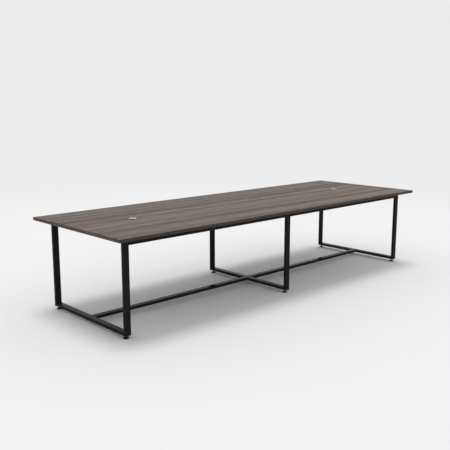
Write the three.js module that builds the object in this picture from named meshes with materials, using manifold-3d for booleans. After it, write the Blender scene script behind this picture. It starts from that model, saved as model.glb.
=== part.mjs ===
// A conference table: a two-piece wood-grain top on three steel loop frames, tied by rails and stretchers.
// Millimetres, +Z up. X runs along the table, Y from front to rear, and the floor is at Z = 0.
import * as THREE from "three";
import { mergeVertices } from "three/addons/utils/BufferGeometryUtils.js";
import Module from "manifold-3d";

const wasm = await Module();
wasm.setup();

// Overall size
const tableLength = 3600;
const tableDepth = 1200;
const tableHeight = 750;
const boardThickness = 25;
const endOverhang = 95;
const sideOverhang = 105;

// Edge bands
const bandThickness = 2;
const bandEdgeRadius = 1.5;

// Rectangular steel tube of the frames, rails and stretchers
const tubeWide = 50;
const tubeNarrow = 25;
const tubeWall = 2;
const tubeCorner = 3;
const boreCornerLeast = 0.8;

// Spigots that the rails and stretchers slide over
const spigotLength = 60;
const spigotWall = 2.5;

// Levelling feet
const footHeight = 25;
const footFromEnd = 30;
const footBaseRadius = 22;
const footBaseHeight = 12;
const footRimHeight = 8;
const footSoleChamfer = 1.5;
const footHubRadius = 9;
const footSocketFloor = 4;
const studRadius = 4;
const studChamfer = 1;
const studBelowInsertTop = 2;
const hexAcrossFlats = 13;
const hexHeight = 6;

// Threaded inserts in the floor bars
const insertRadius = 5.5;
const insertFlangeRadius = 7.5;
const insertFlangeHeight = 1;
const insertCollarRadius = 7;
const insertCollarHeight = 2.5;
const insertHeadroom = 5;

// Cable grommets
const grommetFromEnd = 530;
const grommetHoleRadius = 30;
const linerFlangeRadius = 36;
const linerFlangeHeight = 2.5;
const linerFlangeRound = 1.2;
const linerSleeveWall = 2.4;
const linerDepth = 21;
const linerLedgeWidth = 4;
const linerLedgeHeight = 0.8;
const capSkirtWall = 1.5;
const capSkirtDepth = 9;
const capRound = 0.6;
const notchWidth = 46;
const notchFromCentre = 2;
const notchCorner = 6;
const notchTurn = -Math.PI / 4; // the cable notch looks towards the front left corner

// Gaps and clearances
const seamGap = 0.3;
const glueLine = 0.05;
const weldGap = 0.2;
const seatGap = 0.2;
const slipClearance = 0.2;
const runningClearance = 0.03;

// Facets
const cornerSteps = 2;
const holeSteps = 20;
const turnedSteps = 32;
const grommetSteps = 48;
const threadSteps = 16;
const roundSteps = 2;
const mergeDistance = 1e-3;

// Places worked out from the sizes above
const frameX = tableLength / 2 - endOverhang - tubeWide / 2;
const frameDepth = tableDepth - 2 * sideOverhang;
const boardUnderside = tableHeight - boardThickness;
const frameTop = boardUnderside - seatGap;
const frameHeight = frameTop - footHeight;
const bayLength = frameX - tubeWide - 2 * weldGap;
const footY = frameDepth / 2 - footFromEnd;
const grommetX = tableLength / 2 - grommetFromEnd;
const boreWide = tubeWide - 2 * tubeWall;
const boreNarrow = tubeNarrow - 2 * tubeWall;
const boreCorner = Math.max(tubeCorner - tubeWall, boreCornerLeast);
const insertTop = footHeight + tubeNarrow - tubeWall - insertHeadroom;

const ends = [["left", -1], ["right", 1]];
const sides = [["front", -1], ["rear", 1]];
const frames = [["left", -frameX], ["middle", 0], ["right", frameX]];

const finish = (color, roughness, metalness) =>
  new THREE.MeshStandardMaterial({ color, roughness, metalness });
const woodLaminate = finish(0x79726c, 0.5, 0);
const woodEdge = finish(0x5a514b, 0.55, 0);
const blackSteel = finish(0x1b1b1c, 0.45, 0.3);
const zincSteel = finish(0x9a9d9f, 0.35, 1);
const blackNylon = finish(0x141414, 0.6, 0);
const silverPlastic = finish(0xc6c8c8, 0.4, 0.2);

const table = new THREE.Group();
table.name = "conference_table";

function add(name, geometry, material, position, rotation = [0, 0, 0]) {
  const mesh = new THREE.Mesh(geometry, material);
  mesh.name = name;
  mesh.position.set(...position);
  mesh.rotation.set(...rotation);
  table.add(mesh);
}

// Turns for a prism that is drawn in XY and runs along Z
const alongX = [Math.PI / 2, Math.PI / 2, 0];
const alongXOnEdge = [0, Math.PI / 2, 0];
const alongY = [Math.PI / 2, 0, 0];

function toSolid(geometry) {
  const bare = geometry.clone();
  bare.deleteAttribute("normal");
  bare.deleteAttribute("uv");
  const merged = mergeVertices(bare, mergeDistance);
  const triVerts = new Uint32Array(merged.index.array);
  const vertProperties = merged.getAttribute("position").array;
  return new wasm.Manifold(new wasm.Mesh({ numProp: 3, vertProperties, triVerts }));
}

function toGeometry(solid) {
  const mesh = solid.getMesh();
  const geometry = new THREE.BufferGeometry();
  geometry.setAttribute("position", new THREE.BufferAttribute(mesh.vertProperties, 3));
  geometry.setIndex(new THREE.BufferAttribute(mesh.triVerts, 1));
  geometry.computeVertexNormals();
  return geometry;
}

function prism(section, length, curveSegments) {
  const options = { depth: length, bevelEnabled: false, curveSegments };
  return new THREE.ExtrudeGeometry(section, options).translate(0, 0, -length / 2);
}

function turned(profile, steps) {
  const points = profile.map(([radius, height]) => new THREE.Vector2(radius, height));
  return new THREE.LatheGeometry(points, steps).rotateX(Math.PI / 2);
}

// Points of an arc for a turned profile, from one angle to another
function arc(radius, height, size, start, end) {
  const points = [];
  for (let step = 0; step <= roundSteps; step += 1) {
    const angle = start + ((end - start) * step) / roundSteps;
    points.push([radius + size * Math.cos(angle), height + size * Math.sin(angle)]);
  }
  return points;
}

function roundedRectangle(path, width, height, radius) {
  const x = width / 2 - radius;
  const y = height / 2 - radius;
  path.absarc(x, y, radius, 0, Math.PI / 2);
  path.absarc(-x, y, radius, Math.PI / 2, Math.PI);
  path.absarc(-x, -y, radius, Math.PI, 1.5 * Math.PI);
  path.absarc(x, -y, radius, 1.5 * Math.PI, 2 * Math.PI);
  return path;
}

function hollowBar(wide, narrow, wall, outerCorner, innerCorner, length) {
  const section = roundedRectangle(new THREE.Shape(), wide, narrow, outerCorner);
  const bore = roundedRectangle(new THREE.Path(), wide - 2 * wall, narrow - 2 * wall, innerCorner);
  section.holes.push(bore);
  return prism(section, length, cornerSteps);
}

function tube(length) {
  return hollowBar(tubeWide, tubeNarrow, tubeWall, tubeCorner, boreCorner, length);
}

// A tube whose ends are cut at 45 degrees; outward is the sign of its long face along local Y.
function mitredTube(length, outward) {
  const geometry = tube(length);
  const points = geometry.getAttribute("position");
  for (let i = 0; i < points.count; i += 1) {
    const setback = tubeNarrow / 2 - outward * points.getY(i) + weldGap / Math.SQRT2;
    points.setZ(i, Math.sign(points.getZ(i)) * (length / 2 - setback));
  }
  return geometry;
}

// Tabletop: two boards with a grommet hole each, banded on their three outer sides
function addTabletop() {
  const boardDepth = tableDepth - 2 * (bandThickness + glueLine);
  const boardLength = (tableLength - seamGap) / 2 - bandThickness - glueLine;
  const bandLength = (tableLength - seamGap) / 2;
  for (const [end, toEnd] of ends) {
    const middle = toEnd * (seamGap / 2 + boardLength / 2);
    const outline = new THREE.Shape();
    outline.moveTo(-boardLength / 2, -boardDepth / 2);
    outline.lineTo(boardLength / 2, -boardDepth / 2);
    outline.lineTo(boardLength / 2, boardDepth / 2);
    outline.lineTo(-boardLength / 2, boardDepth / 2);
    const hole = new THREE.Path().absarc(toEnd * grommetX - middle, 0, grommetHoleRadius, 0, 2 * Math.PI);
    outline.holes.push(hole);
    const centre = [middle, 0, boardUnderside + boardThickness / 2];
    add(`tabletop_${end}`, prism(outline, boardThickness, holeSteps), woodLaminate, centre);

    const endBandX = toEnd * (tableLength / 2 - bandThickness / 2);
    const endBand = edgeBand(toEnd, boardDepth);
    add(`edge_band_end_${end}`, endBand, woodEdge, [endBandX, 0, centre[2]], alongY);
    for (const [side, toSide] of sides) {
      const bandX = toEnd * (seamGap / 2 + bandLength / 2);
      const bandY = toSide * (tableDepth / 2 - bandThickness / 2);
      const band = edgeBand(toSide, bandLength);
      add(`edge_band_${side}_${end}`, band, woodEdge, [bandX, bandY, centre[2]], alongX);
    }
  }
}

// A strip with its two outer edges rounded; outward is the sign of its outer face along local X.
function edgeBand(outward, length) {
  const x = bandThickness / 2;
  const y = boardThickness / 2;
  const section = new THREE.Shape();
  section.absarc(x - bandEdgeRadius, bandEdgeRadius - y, bandEdgeRadius, -Math.PI / 2, 0);
  section.absarc(x - bandEdgeRadius, y - bandEdgeRadius, bandEdgeRadius, 0, Math.PI / 2);
  section.lineTo(-x, y);
  section.lineTo(-x, -y);
  return prism(section, length, cornerSteps).rotateZ(outward > 0 ? 0 : Math.PI);
}

// Loop frames: two legs, a floor bar and a top bar, mitred at the four corners
function addFrames() {
  for (const [frame, x] of frames) {
    for (const [side, toSide] of sides) {
      const legY = toSide * (frameDepth / 2 - tubeNarrow / 2);
      const legZ = footHeight + frameHeight / 2;
      add(`frame_${frame}_leg_${side}`, mitredTube(frameHeight, toSide), blackSteel, [x, legY, legZ]);
    }
    const topZ = frameTop - tubeNarrow / 2;
    const floorZ = footHeight + tubeNarrow / 2;
    add(`frame_${frame}_top_bar`, mitredTube(frameDepth, 1), blackSteel, [x, 0, topZ], alongY);
    add(`frame_${frame}_floor_bar`, floorBar(), blackSteel, [x, 0, floorZ], alongY);
  }
}

// The lower wall of a floor bar is drilled for the two inserts.
function floorBar() {
  let bar = toSolid(mitredTube(frameDepth, -1));
  for (const [, toSide] of sides) {
    const radius = insertRadius + slipClearance;
    const drill = new THREE.CylinderGeometry(radius, radius, 3 * tubeWall, threadSteps);
    drill.translate(0, -tubeNarrow / 2, toSide * footY);
    bar = bar.subtract(toSolid(drill));
  }
  return toGeometry(bar);
}

// Rails under the long sides and stretchers near the floor, with a spigot in each open end
function addTies() {
  const railZ = frameTop - tubeWide / 2;
  const railY = frameDepth / 2 - tubeNarrow / 2;
  const stretcherZ = footHeight + tubeNarrow / 2;
  for (const [end, toEnd] of ends) {
    for (const [side, toSide] of sides) {
      addTie(`rail_${side}_${end}`, toEnd, toSide * railY, railZ, alongXOnEdge);
    }
    addTie(`stretcher_${end}`, toEnd, 0, stretcherZ, alongX);
  }
}

function addTie(name, toEnd, y, z, turn) {
  const middle = (toEnd * frameX) / 2;
  const spigotWide = boreWide - 2 * slipClearance;
  const spigotNarrow = boreNarrow - 2 * slipClearance;
  add(name, tube(bayLength), blackSteel, [middle, y, z], turn);
  for (const [place, direction] of [["inner", -toEnd], ["outer", toEnd]]) {
    const x = middle + (direction * (bayLength - spigotLength)) / 2;
    const spigot = hollowBar(spigotWide, spigotNarrow, spigotWall, boreCorner, boreCornerLeast, spigotLength);
    add(`${name}_spigot_${place}`, spigot, zincSteel, [x, y, z], turn);
  }
}

// Levelling feet: a moulded base, a threaded stud with a hexagon, and the insert that holds the stud
function addFeet() {
  for (const [frame, x] of frames) {
    for (const [side, toSide] of sides) {
      const place = [x, toSide * footY, 0];
      add(`foot_base_${frame}_${side}`, footBase(), blackNylon, place);
      add(`foot_stud_${frame}_${side}`, footStud(), zincSteel, place);
      add(`foot_insert_${frame}_${side}`, footInsert(), zincSteel, place);
    }
  }
}

function footBase() {
  const socketRadius = studRadius + slipClearance;
  const profile = [
    [0, 0],
    [footBaseRadius - footSoleChamfer, 0],
    [footBaseRadius, footSoleChamfer],
    [footBaseRadius, footRimHeight],
    [footHubRadius, footBaseHeight],
    [socketRadius, footBaseHeight],
    [socketRadius, footSocketFloor],
    [0, footSocketFloor],
  ];
  return turned(profile, turnedSteps);
}

function footStud() {
  const bottom = footSocketFloor + seatGap;
  const top = insertTop - studBelowInsertTop;
  const profile = [
    [0, bottom],
    [studRadius, bottom],
    [studRadius, top - studChamfer],
    [studRadius - studChamfer, top],
    [0, top],
  ];
  const hexRadius = hexAcrossFlats / Math.sqrt(3);
  const hexagon = new THREE.CylinderGeometry(hexRadius, hexRadius, hexHeight, 6).rotateX(Math.PI / 2);
  hexagon.translate(0, 0, footBaseHeight + seatGap + hexHeight / 2);
  return toGeometry(toSolid(turned(profile, threadSteps)).add(toSolid(hexagon)));
}

function footInsert() {
  const bore = studRadius + runningClearance;
  const flangeTop = footHeight - seatGap;
  const collarBottom = footHeight + tubeWall + seatGap;
  const profile = [
    [bore, flangeTop - insertFlangeHeight],
    [insertFlangeRadius, flangeTop - insertFlangeHeight],
    [insertFlangeRadius, flangeTop],
    [insertRadius, flangeTop],
    [insertRadius, collarBottom],
    [insertCollarRadius, collarBottom],
    [insertCollarRadius, collarBottom + insertCollarHeight / 2],
    [insertRadius, collarBottom + insertCollarHeight],
    [insertRadius, insertTop],
    [bore, insertTop],
    [bore, flangeTop - insertFlangeHeight],
  ];
  return turned(profile, threadSteps);
}

// Cable grommets: a flanged liner let into the board, and a cap that turns in it
const sleeveRadius = grommetHoleRadius - slipClearance;
const sleeveBore = sleeveRadius - linerSleeveWall;
const ledgeRadius = sleeveBore + linerLedgeWidth;

function addGrommets() {
  for (const [end, toEnd] of ends) {
    const place = [toEnd * grommetX, 0, tableHeight];
    add(`grommet_liner_${end}`, grommetLiner(), blackNylon, place);
    add(`grommet_cap_${end}`, grommetCap(), silverPlastic, place);
  }
}

function grommetLiner() {
  const roundRadius = linerFlangeRadius - linerFlangeRound;
  const roundHeight = linerFlangeHeight - linerFlangeRound;
  const profile = [
    [sleeveBore, -linerDepth],
    [sleeveRadius, -linerDepth],
    [sleeveRadius, seatGap],
    [linerFlangeRadius, seatGap],
    ...arc(roundRadius, roundHeight, linerFlangeRound, 0, Math.PI / 2),
    [ledgeRadius, linerFlangeHeight],
    [ledgeRadius, linerLedgeHeight],
    [sleeveBore, linerLedgeHeight],
    [sleeveBore, -linerDepth],
  ];
  return turned(profile, grommetSteps);
}

function grommetCap() {
  // The corners of the faceted skirt clear the flats of the faceted bore by the running clearance.
  const skirtRadius = sleeveBore * Math.cos(Math.PI / grommetSteps) - runningClearance;
  const skirtBore = skirtRadius - capSkirtWall;
  const capRadius = ledgeRadius - slipClearance;
  const capBottom = linerLedgeHeight + seatGap;
  const profile = [
    [0, capBottom],
    [skirtBore, capBottom],
    [skirtBore, -capSkirtDepth],
    [skirtRadius, -capSkirtDepth],
    [skirtRadius, capBottom],
    [capRadius, capBottom],
    ...arc(capRadius - capRound, linerFlangeHeight - capRound, capRound, 0, Math.PI / 2),
    [0, linerFlangeHeight],
  ];
  const halfWidth = notchWidth / 2;
  const cornerX = halfWidth - notchCorner;
  const cornerY = -notchFromCentre - notchCorner;
  const notch = new THREE.Shape();
  notch.absarc(cornerX, cornerY, notchCorner, 0, Math.PI / 2);
  notch.absarc(-cornerX, cornerY, notchCorner, Math.PI / 2, Math.PI);
  notch.lineTo(-halfWidth, -linerFlangeRadius);
  notch.lineTo(halfWidth, -linerFlangeRadius);
  const cutter = prism(notch, 2 * linerDepth, holeSteps / 2).rotateZ(notchTurn);
  return toGeometry(toSolid(turned(profile, grommetSteps)).subtract(toSolid(cutter)));
}

addTabletop();
addFrames();
addTies();
addFeet();
addGrommets();

export default table;
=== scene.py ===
import bpy
import bmesh
from math import atan2, cos, pi, radians
from mathutils import Matrix, Vector


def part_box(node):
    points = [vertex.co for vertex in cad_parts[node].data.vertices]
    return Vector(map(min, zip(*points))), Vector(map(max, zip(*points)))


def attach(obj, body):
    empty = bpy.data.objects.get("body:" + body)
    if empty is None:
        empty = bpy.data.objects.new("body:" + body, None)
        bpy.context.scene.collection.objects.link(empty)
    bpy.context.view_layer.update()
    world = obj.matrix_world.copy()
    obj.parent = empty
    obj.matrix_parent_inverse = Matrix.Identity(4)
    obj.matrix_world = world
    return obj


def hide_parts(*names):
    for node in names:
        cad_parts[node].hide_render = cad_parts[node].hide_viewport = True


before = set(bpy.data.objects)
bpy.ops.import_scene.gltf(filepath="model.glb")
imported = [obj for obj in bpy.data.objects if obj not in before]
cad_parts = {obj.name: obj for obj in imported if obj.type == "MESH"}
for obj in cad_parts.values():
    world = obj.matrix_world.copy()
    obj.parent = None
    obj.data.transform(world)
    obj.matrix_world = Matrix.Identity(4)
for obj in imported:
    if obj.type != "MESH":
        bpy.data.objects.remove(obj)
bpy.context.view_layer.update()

frameNames = ["left", "middle", "right"]
sideNames = ["front", "rear"]
endNames = ["left", "right"]
spigotNames = ["inner", "outer"]
tieNames = [tie + end for end in endNames for tie in ("rail_front_", "rail_rear_", "stretcher_")]
xAxis = 0
yAxis = 1
zAxis = 2


# node helpers

def addNode(tree, kind, **values):
    node = tree.nodes.new(kind)
    for key, value in values.items():
        if key in node.inputs.keys():
            node.inputs[key].default_value = value
        else:
            setattr(node, key, value)
    return node


def feed(tree, socket, value):
    # a number or a colour is set on the socket, an output is linked to it
    if isinstance(value, (int, float, tuple)):
        socket.default_value = value
    else:
        tree.links.new(value, socket)


def stretchedNoise(tree, vector, stretch, detail, rough=0.5):
    # noise pulled out along the axes by a mapping
    mapping = addNode(tree, "ShaderNodeMapping", Scale=stretch)
    noise = addNode(tree, "ShaderNodeTexNoise", Scale=1.0, Detail=detail, Roughness=rough)
    tree.links.new(vector, mapping.inputs["Vector"])
    tree.links.new(mapping.outputs["Vector"], noise.inputs["Vector"])
    return noise.outputs["Fac"]


def remap(tree, value, low, high, toLow=0.0, toHigh=1.0):
    limits = {"From Min": low, "From Max": high, "To Min": toLow, "To Max": toHigh}
    node = addNode(tree, "ShaderNodeMapRange", interpolation_type="SMOOTHSTEP", **limits)
    tree.links.new(value, node.inputs["Value"])
    return node.outputs["Result"]


def mathNode(tree, operation, first, second):
    node = addNode(tree, "ShaderNodeMath", operation=operation)
    for socket, value in zip(node.inputs, (first, second)):
        feed(tree, socket, value)
    return node.outputs["Value"]


mixSockets = {"factor": 0, "first": 6, "second": 7, "result": 2}  # where the mix node keeps its colours


def mixColour(tree, factor, first, second, blend="MIX"):
    node = addNode(tree, "ShaderNodeMix", data_type="RGBA", blend_type=blend)
    feed(tree, node.inputs[mixSockets["factor"]], factor)
    feed(tree, node.inputs[mixSockets["first"]], first)
    feed(tree, node.inputs[mixSockets["second"]], second)
    return node.outputs[mixSockets["result"]]


def mixShaders(tree, factor, first, second):
    node = tree.nodes.new("ShaderNodeMixShader")
    for socket, value in zip(node.inputs, (factor, first, second)):
        tree.links.new(value, socket)
    return node.outputs["Shader"]


def newGroup(name, inputs, outputs):
    group = bpy.data.node_groups.new(name, "ShaderNodeTree")
    for label, kind in inputs:
        group.interface.new_socket(label, in_out="INPUT", socket_type=kind)
    for label, kind in outputs:
        group.interface.new_socket(label, in_out="OUTPUT", socket_type=kind)
    return group, group.nodes.new("NodeGroupInput"), group.nodes.new("NodeGroupOutput")


def colour(red, green, blue):
    # sRGB levels from 0 to 255 to a linear colour
    linear = [((level / 255 + 0.055) / 1.055) ** 2.4 for level in (red, green, blue)]
    return (*linear, 1.0)


# shared effects

grainLook = {
    "sway": 0.02,
    "swayStretch": (0.5, 2.2, 2.2),
    "swayDetail": 2,
    "layers": [
        # long streaks
        {"stretch": (0.1, 20.0, 20.0), "detail": 3, "rough": 0.6, "spread": 0.12, "weight": 0.42},
        # narrow lines
        {"stretch": (1.8, 60.0, 60.0), "detail": 6, "rough": 0.72, "spread": 0.14, "weight": 0.24},
        # short flecks
        {"stretch": (8.0, 70.0, 70.0), "detail": 3, "rough": 0.6, "spread": 0.15, "weight": 0.2},
    ],
    "layerMiddle": 0.5,
    "fibreStretch": (3.0, 380.0, 380.0),
    "fibreDetail": 4,
    "fibreRough": 0.65,
    "fibreToneRange": (0.4, 0.6),
    "fibreWeight": 0.16,
    "fibreSheenRange": (0.2, 0.8),
    "fibreRoughness": (0.62, 0.54),
    "poreStretch": (36.0, 800.0, 800.0),
    "poreDetail": 2,
    "poreRange": (0.58, 0.64),
    "poreMost": 0.75,
    "hueStretch": (0.3, 9.0, 9.0),
    "hueDetail": 2,
    "hueRange": (0.42, 0.58),
    "coolTint": (0.97, 1.0, 0.97, 1.0),
    "warmTint": (1.06, 0.98, 0.97, 1.0),
}


def makeWoodGrain():
    look = grainLook
    group, given, out = newGroup(
        "woodGrain",
        [("Vector", "NodeSocketVector"), ("Light", "NodeSocketColor"),
         ("Dark", "NodeSocketColor"), ("Pore", "NodeSocketColor")],
        [("Color", "NodeSocketColor"), ("Roughness", "NodeSocketFloat"), ("Height", "NodeSocketFloat")])
    vector = given.outputs["Vector"]
    # a slow drift lets the streaks sway sideways
    drift = stretchedNoise(group, vector, look["swayStretch"], look["swayDetail"])
    wander = addNode(group, "ShaderNodeVectorMath", operation="MULTIPLY_ADD")
    wander.inputs[1].default_value = (0.0, look["sway"], look["sway"])
    group.links.new(drift, wander.inputs[0])
    group.links.new(vector, wander.inputs[2])
    swayed = wander.outputs[0]
    # the tone is the sum of the fibres and the layers
    fibres = stretchedNoise(group, vector, look["fibreStretch"], look["fibreDetail"], look["fibreRough"])
    tone = mathNode(group, "MULTIPLY", remap(group, fibres, *look["fibreToneRange"]), look["fibreWeight"])
    for layer in look["layers"]:
        noise = stretchedNoise(group, swayed, layer["stretch"], layer["detail"], layer["rough"])
        lowest = look["layerMiddle"] - layer["spread"]
        highest = look["layerMiddle"] + layer["spread"]
        share = mathNode(group, "MULTIPLY", remap(group, noise, lowest, highest), layer["weight"])
        tone = mathNode(group, "ADD", tone, share)
    plain = mixColour(group, tone, given.outputs["Dark"], given.outputs["Light"])
    hueNoise = stretchedNoise(group, swayed, look["hueStretch"], look["hueDetail"])
    tint = mixColour(group, remap(group, hueNoise, *look["hueRange"]), look["coolTint"], look["warmTint"])
    tinted = mixColour(group, 1.0, plain, tint, "MULTIPLY")
    pores = stretchedNoise(group, vector, look["poreStretch"], look["poreDetail"])
    poreMask = remap(group, pores, *look["poreRange"], 0.0, look["poreMost"])
    pored = mixColour(group, poreMask, tinted, given.outputs["Pore"])
    sheen = remap(group, fibres, *look["fibreSheenRange"], *look["fibreRoughness"])
    group.links.new(pored, out.inputs["Color"])
    group.links.new(sheen, out.inputs["Roughness"])
    group.links.new(mathNode(group, "SUBTRACT", fibres, poreMask), out.inputs["Height"])
    return group


textureLook = {
    "gritDetail": 2.0,
    "cloudStretch": (14.0, 14.0, 14.0),
    "cloudDetail": 4,
}


def makeFineTexture():
    # the fine unevenness of a powder coat, a moulded skin or a plating
    group, given, out = newGroup(
        "fineTexture",
        [("Vector", "NodeSocketVector"), ("Grit", "NodeSocketFloat"),
         ("Smooth", "NodeSocketFloat"), ("Rough", "NodeSocketFloat")],
        [("Roughness", "NodeSocketFloat"), ("Height", "NodeSocketFloat"), ("Cloud", "NodeSocketFloat")])
    vector = given.outputs["Vector"]
    grit = addNode(group, "ShaderNodeTexNoise", Detail=textureLook["gritDetail"])
    group.links.new(vector, grit.inputs["Vector"])
    group.links.new(given.outputs["Grit"], grit.inputs["Scale"])
    cloud = stretchedNoise(group, vector, textureLook["cloudStretch"], textureLook["cloudDetail"])
    blend = addNode(group, "ShaderNodeMapRange")
    group.links.new(cloud, blend.inputs["Value"])
    group.links.new(given.outputs["Smooth"], blend.inputs["To Min"])
    group.links.new(given.outputs["Rough"], blend.inputs["To Max"])
    group.links.new(blend.outputs["Result"], out.inputs["Roughness"])
    group.links.new(grit.outputs["Fac"], out.inputs["Height"])
    group.links.new(cloud, out.inputs["Cloud"])
    return group


dustLook = {
    "speckStretch": (60.0, 60.0, 60.0),
    "speckDetail": 6,
    "speckRange": (0.4, 0.75),
}


def makeFloorDust():
    # a thin grey film that fades with height above the floor
    group, given, out = newGroup(
        "floorDust",
        [("Vector", "NodeSocketVector"), ("Reach", "NodeSocketFloat"), ("Amount", "NodeSocketFloat")],
        [("Mask", "NodeSocketFloat")])
    vector = given.outputs["Vector"]
    split = addNode(group, "ShaderNodeSeparateXYZ")
    group.links.new(vector, split.inputs["Vector"])
    fade = addNode(group, "ShaderNodeMapRange")
    fade.inputs["To Min"].default_value = 1.0
    fade.inputs["To Max"].default_value = 0.0
    group.links.new(split.outputs["Z"], fade.inputs["Value"])
    group.links.new(given.outputs["Reach"], fade.inputs["From Max"])
    specks = stretchedNoise(group, vector, dustLook["speckStretch"], dustLook["speckDetail"])
    film = mathNode(group, "MULTIPLY", fade.outputs["Result"], remap(group, specks, *dustLook["speckRange"]))
    group.links.new(mathNode(group, "MULTIPLY", film, given.outputs["Amount"]), out.inputs["Mask"])
    return group


woodGrain = makeWoodGrain()
fineTexture = makeFineTexture()
floorDust = makeFloorDust()
print("shared effects ready")


# materials

def newMaterial(name):
    material = bpy.data.materials.new(name)
    material.use_nodes = True
    tree = material.node_tree
    tree.nodes.clear()
    shader = tree.nodes.new("ShaderNodeBsdfPrincipled")
    out = tree.nodes.new("ShaderNodeOutputMaterial")
    tree.links.new(shader.outputs["BSDF"], out.inputs["Surface"])
    return material, tree, shader


def placeGroup(tree, group, vector, **values):
    node = tree.nodes.new("ShaderNodeGroup")
    node.node_tree = group
    for label, value in values.items():
        node.inputs[label].default_value = value
    tree.links.new(vector, node.inputs["Vector"])
    return node


def addBump(tree, shader, height, look):
    bump = addNode(tree, "ShaderNodeBump", Strength=look["bump"], Distance=look["bumpDepth"])
    tree.links.new(height, bump.inputs["Height"])
    tree.links.new(bump.outputs["Normal"], shader.inputs["Normal"])


def objectVector(tree, shift=(0, 0, 0), turn=0.0):
    coords = tree.nodes.new("ShaderNodeTexCoord")
    mapping = addNode(tree, "ShaderNodeMapping", Location=shift, Rotation=(0, 0, turn))
    tree.links.new(coords.outputs["Object"], mapping.inputs["Vector"])
    return mapping.outputs["Vector"]


woodLook = {
    "pore": colour(54, 49, 45),
    "shine": 0.1,
    "bump": 0.08,
    "bumpDepth": 0.0004,
}
topLook = {
    "light": colour(148, 136, 127),
    "dark": colour(24, 22, 21),
    "shift": (0, 0, 0),
    "turn": 0.0,
}
# painted shade: the long edge bands are coloured far darker than the top to stand for the shade on their
# upright faces
longEdgePaintedShadeLook = {
    "light": colour(80, 72, 66),
    "dark": colour(54, 49, 45),
    "shift": (1.1, 0.4, 0.2),
    "turn": 0.0,
}
# painted shade and painted light: the end bands are darker than the top for the shade on upright faces, but
# lighter than the long bands where the left end catches the light
shortEdgePaintedShadeAndLightLook = {
    "light": colour(94, 85, 78),
    "dark": colour(64, 58, 53),
    "shift": (0.3, 2.4, 0.1),
    "turn": pi / 2,
}


def makeWood(name, look):
    material, tree, shader = newMaterial(name)
    vector = objectVector(tree, look["shift"], look["turn"])
    grain = placeGroup(tree, woodGrain, vector, Light=look["light"], Dark=look["dark"], Pore=woodLook["pore"])
    tree.links.new(grain.outputs["Color"], shader.inputs["Base Color"])
    tree.links.new(grain.outputs["Roughness"], shader.inputs["Roughness"])
    shader.inputs["Specular IOR Level"].default_value = woodLook["shine"]
    addBump(tree, shader, grain.outputs["Height"], woodLook)
    return material


coatLook = {
    "base": colour(29, 29, 30),
    "cloud": colour(35, 35, 36),
    "dust": colour(120, 116, 110),
    "dustReach": 0.16,
    "dustAmount": 0.05,
    "grit": 1100.0,
    "shine": 0.03,
    "smooth": 0.11,
    "rough": 0.17,
    "metal": 0.0,
    "bump": 0.12,
    "bumpDepth": 0.0002,
}
nylonLook = {
    "base": colour(24, 24, 24),
    "cloud": colour(34, 33, 33),
    "dust": colour(110, 106, 100),
    "dustReach": 0.02,
    "dustAmount": 0.3,
    "grit": 1800.0,
    "shine": 0.4,
    "smooth": 0.5,
    "rough": 0.62,
    "metal": 0.0,
    "bump": 0.12,
    "bumpDepth": 0.0002,
}
linerLook = {
    "base": colour(15, 15, 16),
    "cloud": colour(22, 22, 22),
    "grit": 1800.0,
    "shine": 0.3,
    "smooth": 0.42,
    "rough": 0.55,
    "metal": 0.0,
    "bump": 0.12,
    "bumpDepth": 0.0002,
}
coverLook = {
    "base": colour(214, 216, 217),
    "cloud": colour(226, 227, 227),
    "grit": 2500.0,
    "shine": 0.5,
    "smooth": 0.34,
    "rough": 0.44,
    "metal": 0.0,
    "bump": 0.12,
    "bumpDepth": 0.0002,
}
zincLook = {
    "base": colour(168, 172, 176),
    "cloud": colour(176, 174, 166),
    "grit": 1500.0,
    "shine": 0.5,
    "smooth": 0.26,
    "rough": 0.4,
    "metal": 1.0,
    "bump": 0.1,
    "bumpDepth": 0.0001,
}


def makeFinish(name, look):
    material, tree, shader = newMaterial(name)
    vector = objectVector(tree)
    texture = placeGroup(tree, fineTexture, vector,
                         Grit=look["grit"], Smooth=look["smooth"], Rough=look["rough"])
    shade = mixColour(tree, texture.outputs["Cloud"], look["base"], look["cloud"])
    if "dust" in look:
        dust = placeGroup(tree, floorDust, vector, Reach=look["dustReach"], Amount=look["dustAmount"])
        shade = mixColour(tree, dust.outputs["Mask"], shade, look["dust"])
    tree.links.new(shade, shader.inputs["Base Color"])
    tree.links.new(texture.outputs["Roughness"], shader.inputs["Roughness"])
    shader.inputs["Specular IOR Level"].default_value = look["shine"]
    shader.inputs["Metallic"].default_value = look["metal"]
    addBump(tree, shader, texture.outputs["Height"], look)
    return material


topWood = makeWood("topWood", topLook)
# the long edge bands carry painted shade for their upright faces
edgeLongPaintedShade = makeWood("edgeBandLongPaintedShade", longEdgePaintedShadeLook)
# the end bands carry painted shade, lightened as painted light for the lit left end
edgeShortPaintedShadeAndLight = makeWood("edgeBandShortPaintedShadeAndLight", shortEdgePaintedShadeAndLightLook)
blackCoat = makeFinish("blackPowderCoat", coatLook)
blackNylon = makeFinish("blackNylon", nylonLook)
blackLiner = makeFinish("blackLiner", linerLook)
silverCover = makeFinish("silverCover", coverLook)
zincPlate = makeFinish("zincPlate", zincLook)
print("materials ready")


# piece helpers

pieceLook = {"weld": 1e-6, "sharpAngle": radians(50)}


def addObject(name, data):
    made = bpy.data.objects.new(name, data)
    bpy.context.scene.collection.objects.link(made)
    return made


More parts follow.
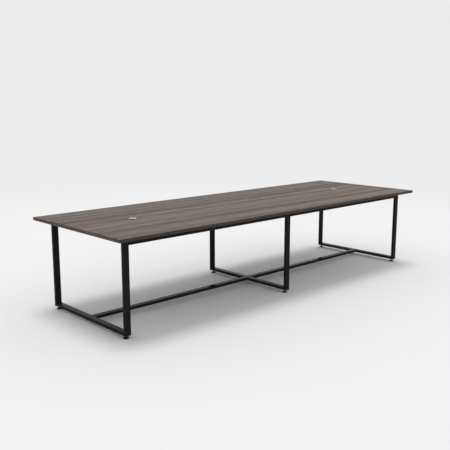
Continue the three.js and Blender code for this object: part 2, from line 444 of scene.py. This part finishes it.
def finishPiece(name, bm, material, body, nodes=()):
    bmesh.ops.remove_doubles(bm, verts=bm.verts, dist=pieceLook["weld"])
    bmesh.ops.recalc_face_normals(bm, faces=bm.faces)
    for face in bm.faces:
        face.smooth = True
    mesh = bpy.data.meshes.new(name)
    bm.to_mesh(mesh)
    bm.free()
    mesh.set_sharp_from_angle(angle=pieceLook["sharpAngle"])
    mesh.materials.append(material)
    piece = addObject(name, mesh)
    weighted = piece.modifiers.new("weightedNormals", "WEIGHTED_NORMAL")
    weighted.keep_sharp = True
    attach(piece, body)
    if nodes:
        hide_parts(*nodes)


def paintNode(node, material):
    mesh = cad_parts[node].data
    mesh.materials.clear()
    mesh.materials.append(material)


def edgesOf(verts):
    # every edge once, in a fixed order
    return list(dict.fromkeys(e for v in verts for e in v.link_edges))


tubeLook = {"corner": 0.003, "segments": 5}


def addTube(bm, node, along, across=None, outward=1):
    # a box of the node's size with its four long edges rounded
    low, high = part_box(node)
    made = bmesh.ops.create_cube(bm, size=1.0)["verts"]
    bmesh.ops.scale(bm, verts=made, vec=high - low)
    bmesh.ops.translate(bm, verts=made, vec=(low + high) / 2)
    longEdges = [e for e in edgesOf(made)
                 if abs(e.verts[0].co[along] - e.verts[1].co[along]) > tubeLook["corner"]]
    bevelled = bmesh.ops.bevel(bm, geom=longEdges, offset=tubeLook["corner"], offset_type="OFFSET",
                               segments=tubeLook["segments"], profile=0.5, affect="EDGES", material=-1)
    if across is None:
        return
    # mitred ends are cut back at 45 degrees from the outer face
    outer = high[across] if outward > 0 else low[across]
    middle = (low[along] + high[along]) / 2
    for vert in {v for f in bevelled["faces"] for v in f.verts}:
        inset = abs(outer - vert.co[across])
        vert.co[along] += inset if vert.co[along] < middle else -inset


def spinProfile(bm, profile, centre, steps):
    # turns a line of (radius, height) points round an upright axis
    verts = [bm.verts.new((centre[0] + radius, centre[1], centre[2] + height)) for radius, height in profile]
    edges = [bm.edges.new(pair) for pair in zip(verts, verts[1:])]
    bmesh.ops.spin(bm, geom=verts + edges, cent=centre, axis=(0, 0, 1), angle=2 * pi,
                   steps=steps, use_merge=True)
    bmesh.ops.remove_doubles(bm, verts=bm.verts, dist=pieceLook["weld"])


# loop frames, rails and stretchers

loopMembers = {
    "_leg_front": {"along": zAxis, "across": yAxis, "outward": -1},
    "_leg_rear": {"along": zAxis, "across": yAxis, "outward": 1},
    "_top_bar": {"along": yAxis, "across": zAxis, "outward": 1},
    "_floor_bar": {"along": yAxis, "across": zAxis, "outward": -1},
}

for name in frameNames:
    loop = bmesh.new()
    for member, lie in loopMembers.items():
        addTube(loop, "frame_" + name + member, lie["along"], lie["across"], lie["outward"])
    nodes = ["frame_" + name + member for member in loopMembers]
    finishPiece("loopFrame_" + name, loop, blackCoat, "table", nodes)

for tie in tieNames:
    bar = bmesh.new()
    addTube(bar, tie, xAxis)
    finishPiece(tie + "_bar", bar, blackCoat, "table", [tie])
    for spigot in spigotNames:
        paintNode(tie + "_spigot_" + spigot, zincPlate)
print("frames, rails and stretchers built")


# screws and bolts

screwLook = {
    "steps": 24,
    "headRadius": 0.0055,
    "headHeight": 0.003,
    "rim": 0.0008,
    "socketRadius": 0.0023,
    "socketDepth": 0.0016,
    "socketSlack": 0.0002,
    "sunk": 0.0002,
    "domeSteps": 5,
    "topBarPlaces": (-0.36, -0.12, 0.12, 0.36),
    "boltsFromEnd": (0.015, 0.045),
}


def addScrew(bm, place, facing):
    # a button head with a hexagon socket, looking along facing
    look = screwLook
    dome = []  # steep at the rim and flat at the socket
    for step in range(look["domeSteps"] + 1):
        share = step / look["domeSteps"]
        reach = look["headRadius"] + (look["socketRadius"] - look["headRadius"]) * share
        rise = (look["headHeight"] - look["rim"]) * (1 - (1 - share) ** 2)
        dome.append((reach, look["rim"] + rise))
    foot = [(0.0, -look["sunk"]), (look["headRadius"], -look["sunk"])]
    floor = look["headHeight"] - look["socketDepth"]
    socket = [(look["socketRadius"], floor), (0.0, floor)]
    head = bmesh.new()
    spinProfile(head, foot + dome + socket, (0.0, 0.0, 0.0), look["steps"])
    # the socket's round is drawn in to a hexagon
    side = pi / 3
    for vert in head.verts:
        if 0.0 < vert.co.xy.length < look["socketRadius"] + look["socketSlack"]:
            fromMiddle = atan2(vert.co.y, vert.co.x) % side - side / 2
            vert.co.xy *= cos(side / 2) / cos(fromMiddle)
    turn = Vector((0, 0, 1)).rotation_difference(facing).to_matrix().to_4x4()
    head.transform(Matrix.Translation(place) @ turn)
    mesh = bpy.data.meshes.new("screwHead")
    head.to_mesh(mesh)
    head.free()
    bm.from_mesh(mesh)
    bpy.data.meshes.remove(mesh)


down = Vector((0, 0, -1))
toRear = Vector((0, 1, 0))
toFront = Vector((0, -1, 0))

for name in frameNames:
    low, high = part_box("frame_" + name + "_top_bar")
    screws = bmesh.new()
    for along in screwLook["topBarPlaces"]:
        addScrew(screws, Vector(((low.x + high.x) / 2, along, low.z)), down)
    finishPiece("topScrews_" + name, screws, blackCoat, "table")

for tie in tieNames:
    low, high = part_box(tie)
    middle = (low + high) / 2
    bolts = bmesh.new()
    for inset in screwLook["boltsFromEnd"]:
        for along in (low.x + inset, high.x - inset):
            if tie.startswith("stretcher"):
                addScrew(bolts, Vector((along, middle.y, low.z)), down)
            elif middle.y < 0:
                addScrew(bolts, Vector((along, high.y, middle.z)), toRear)
            else:
                addScrew(bolts, Vector((along, low.y, middle.z)), toFront)
    finishPiece(tie + "_bolts", bolts, blackCoat, "table")
print("screws and bolts built")


# tabletop

for end in endNames:
    paintNode("tabletop_" + end, topWood)
    # the end bands get their painted shade and light colours
    paintNode("edge_band_end_" + end, edgeShortPaintedShadeAndLight)
    # the long edge bands get their painted-shade colours
    for side in sideNames:
        paintNode("edge_band_" + side + "_" + end, edgeLongPaintedShade)
print("tabletop painted")


# levelling feet

footLook = {
    "steps": 48,
    "soleChamfer": 0.0015,
    "rimTop": 0.008,
    "rimRound": 0.001,
    "rimBulge": 0.0003,
    "hub": 0.009,
    "hubFillet": 0.001,
    "hubRound": 0.0006,
    "socket": 0.0043,
}


def footSeat(place):
    # the middle of the sole, the base's radius and the base's top
    low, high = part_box("foot_base_" + place)
    centre = Vector(((low.x + high.x) / 2, (low.y + high.y) / 2, 0.0))
    return centre, (high.x - low.x) / 2, high.z


def buildFootBase(place):
    look = footLook
    centre, radius, top = footSeat(place)
    sole = [(0.0, 0.0), (radius - look["soleChamfer"], 0.0), (radius, look["soleChamfer"])]
    rim = [(radius, look["rimTop"] - look["rimRound"]),
           (radius - look["rimBulge"], look["rimTop"] - look["rimBulge"]),
           (radius - look["rimRound"], look["rimTop"])]
    hub = [(look["hub"] + look["hubFillet"], top - look["hubRound"]), (look["hub"], top),
           (look["socket"], top), (0.0, top)]
    base = bmesh.new()
    spinProfile(base, sole + rim + hub, centre, look["steps"])
    finishPiece("footBase_" + place, base, blackNylon, "foot_" + place, ["foot_base_" + place])


studLook = {
    "steps": 32,
    "shank": 0.004,
    "foot": 0.0042,
    "pitch": 0.00125,
    "depth": 0.0006,
    "tipChamfer": 0.001,
    "hexSides": 6,
    "hexFlats": 0.013,
    "hexHeight": 0.006,
    "hexLift": 0.0002,
    "hexRound": 0.0004,
    "hexRoundSteps": 2,
}


def buildFootStud(place):
    look = studLook
    centre, _, baseTop = footSeat(place)
    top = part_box("foot_stud_" + place)[1].z
    hexBottom = baseTop + look["hexLift"]
    height = hexBottom + look["hexHeight"]
    # rings stand for the thread above the hexagon
    thread = [(0.0, look["foot"]), (look["shank"], look["foot"]), (look["shank"], height)]
    while height + look["pitch"] < top - look["tipChamfer"]:
        thread.append((look["shank"] - look["depth"], height + look["pitch"] / 2))
        height += look["pitch"]
        thread.append((look["shank"], height))
    thread += [(look["shank"] - look["tipChamfer"], top), (0.0, top)]
    stud = bmesh.new()
    spinProfile(stud, thread, centre, look["steps"])
    hexRadius = look["hexFlats"] / 3 ** 0.5  # from the width across flats to the corners
    hexagon = bmesh.ops.create_cone(stud, cap_ends=True, segments=look["hexSides"], radius1=hexRadius,
                                    radius2=hexRadius, depth=look["hexHeight"])["verts"]
    hexMiddle = hexBottom + look["hexHeight"] / 2
    bmesh.ops.translate(stud, verts=hexagon, vec=centre + Vector((0, 0, hexMiddle)))
    bmesh.ops.bevel(stud, geom=edgesOf(hexagon), offset=look["hexRound"], offset_type="OFFSET",
                    segments=look["hexRoundSteps"], profile=0.5, affect="EDGES", material=-1)
    finishPiece("footStud_" + place, stud, zincPlate, "foot_" + place, ["foot_stud_" + place])


for name in frameNames:
    for side in sideNames:
        buildFootBase(name + "_" + side)
        buildFootStud(name + "_" + side)
        paintNode("foot_insert_" + name + "_" + side, zincPlate)
print("levelling feet built")


# cable grommets

for end in endNames:
    paintNode("grommet_liner_" + end, blackLiner)
    paintNode("grommet_cap_" + end, silverCover)
print("grommets painted")


# stage

backLook = {"colour": (0.85, 0.85, 0.852, 1.0), "strength": 1.0}
floorLook = {
    "colour": (0.93, 0.93, 0.932, 1.0),
    "rough": 0.8,
    "shine": 0.0,
    "size": 60.0,
    "fadeFrom": 3.2,
    "fadeTo": 8.0,
}


def buildFloor():
    look = floorLook
    plate = bmesh.new()
    bmesh.ops.create_grid(plate, x_segments=1, y_segments=1, size=look["size"] / 2)
    mesh = bpy.data.meshes.new("floor")
    plate.to_mesh(mesh)
    plate.free()
    floor = addObject("floor", mesh)
    material, tree, shader = newMaterial("paleFloor")
    shader.inputs["Base Color"].default_value = look["colour"]
    shader.inputs["Roughness"].default_value = look["rough"]
    shader.inputs["Specular IOR Level"].default_value = look["shine"]
    # the floor runs out into the plain background
    coords = tree.nodes.new("ShaderNodeTexCoord")
    reach = addNode(tree, "ShaderNodeVectorMath", operation="LENGTH")
    tree.links.new(coords.outputs["Object"], reach.inputs[0])
    fade = remap(tree, reach.outputs["Value"], look["fadeFrom"], look["fadeTo"])
    glow = addNode(tree, "ShaderNodeEmission", Color=backLook["colour"], Strength=backLook["strength"])
    surface = mixShaders(tree, fade, shader.outputs["BSDF"], glow.outputs["Emission"])
    tree.links.new(surface, tree.get_output_node("ALL").inputs["Surface"])
    mesh.materials.append(material)


lightLook = {
    "skyColour": (1.0, 1.0, 1.0, 1.0),
    "skyStrength": 0.67,
    "lampPower": 0.95,
    "lampSpread": radians(22),
    "lampTilt": (radians(-6), radians(4), 0.0),
}


def buildLight():
    look = lightLook
    world = bpy.data.worlds.new("softRoom")
    bpy.context.scene.world = world
    world.use_nodes = True
    tree = world.node_tree
    tree.nodes.clear()
    # the background shows to the camera and in reflections, and the sky lights the rest
    path = tree.nodes.new("ShaderNodeLightPath")
    seen = mathNode(tree, "MAXIMUM", path.outputs["Is Camera Ray"], path.outputs["Is Glossy Ray"])
    seen = mathNode(tree, "MAXIMUM", seen, path.outputs["Is Transmission Ray"])
    sky = addNode(tree, "ShaderNodeBackground", Color=look["skyColour"], Strength=look["skyStrength"])
    back = addNode(tree, "ShaderNodeBackground", Color=backLook["colour"], Strength=backLook["strength"])
    surface = mixShaders(tree, seen, sky.outputs["Background"], back.outputs["Background"])
    out = tree.nodes.new("ShaderNodeOutputWorld")
    tree.links.new(surface, out.inputs["Surface"])
    lamp = bpy.data.lights.new("overheadSoftLight", "SUN")
    lamp.energy = look["lampPower"]
    lamp.angle = look["lampSpread"]
    softLight = addObject("overheadSoftLight", lamp)
    softLight.rotation_euler = look["lampTilt"]


cameraLook = {
    "place": (-4.1864, -4.1525, 1.6417),
    "yaw": 0.7544,
    "pitch": 0.1854,
    "focalPixels": 655.3,
    "imagePixels": 450,
    "sensor": 36.0,
}


def buildCamera():
    look = cameraLook
    lens = bpy.data.cameras.new("photoCamera")
    lens.sensor_width = look["sensor"]
    lens.lens = look["focalPixels"] / look["imagePixels"] * look["sensor"]
    camera = addObject("photoCamera", lens)
    camera.location = look["place"]
    camera.rotation_euler = (pi / 2 - look["pitch"], 0.0, -look["yaw"])
    bpy.context.scene.camera = camera


buildFloor()
buildLight()
buildCamera()
bpy.context.scene.view_settings.view_transform = "Standard"
print("stage ready")
